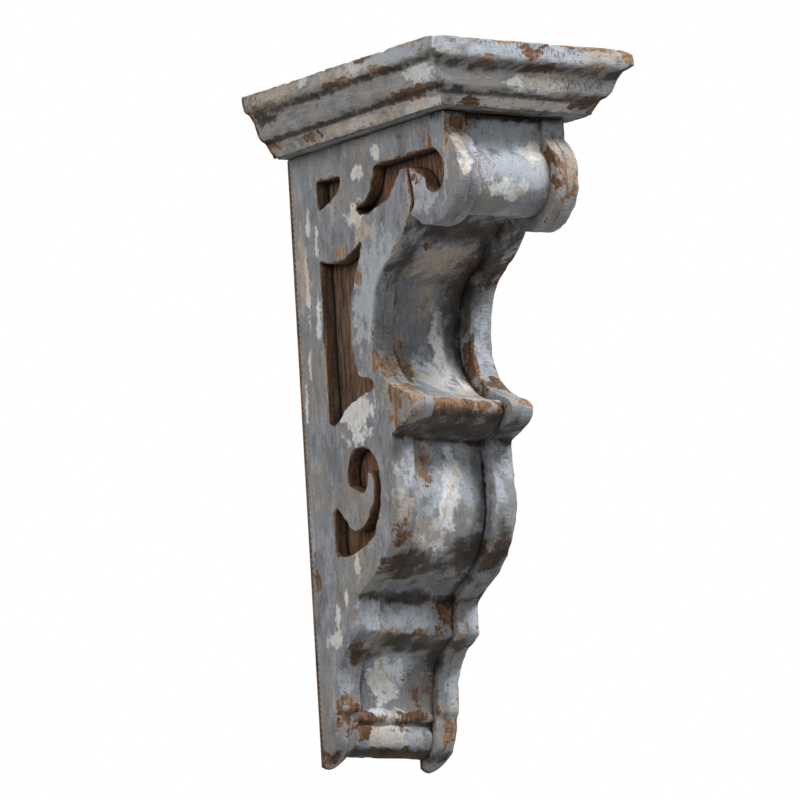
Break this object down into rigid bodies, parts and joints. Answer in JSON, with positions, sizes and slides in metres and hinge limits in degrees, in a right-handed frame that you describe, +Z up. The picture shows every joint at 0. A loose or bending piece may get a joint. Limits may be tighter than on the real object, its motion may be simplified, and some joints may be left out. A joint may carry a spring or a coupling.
{
  "type": "corbel shelf",
  "caption": "Scrolled wooden corbel shelf with pierced sides, a hollowed scroll front and a mitred crown moulding, in worn grey-blue paint.",
  "frame": {"origin": "on the wall plane at the back, midway across the body and midway between the shelf's top and the feet", "axes": "+X along the wall to the viewer's right, +Y into the wall, +Z up; the front faces -Y"},
  "size_m": [0.159, 0.209, 0.433],
  "materials": {
    "painted_wood": "matte",
    "bare_wood": "matte"
  },
  "bodies": {
    "root": {"shelf_board": "painted_wood", "crown_front": "painted_wood", "crown_left": "painted_wood", "crown_right": "painted_wood", "fret_left": "painted_wood", "fret_right": "painted_wood", "liner_left": "bare_wood", "liner_right": "bare_wood", "centre_block": "painted_wood"}
  },
  "joints": []
}
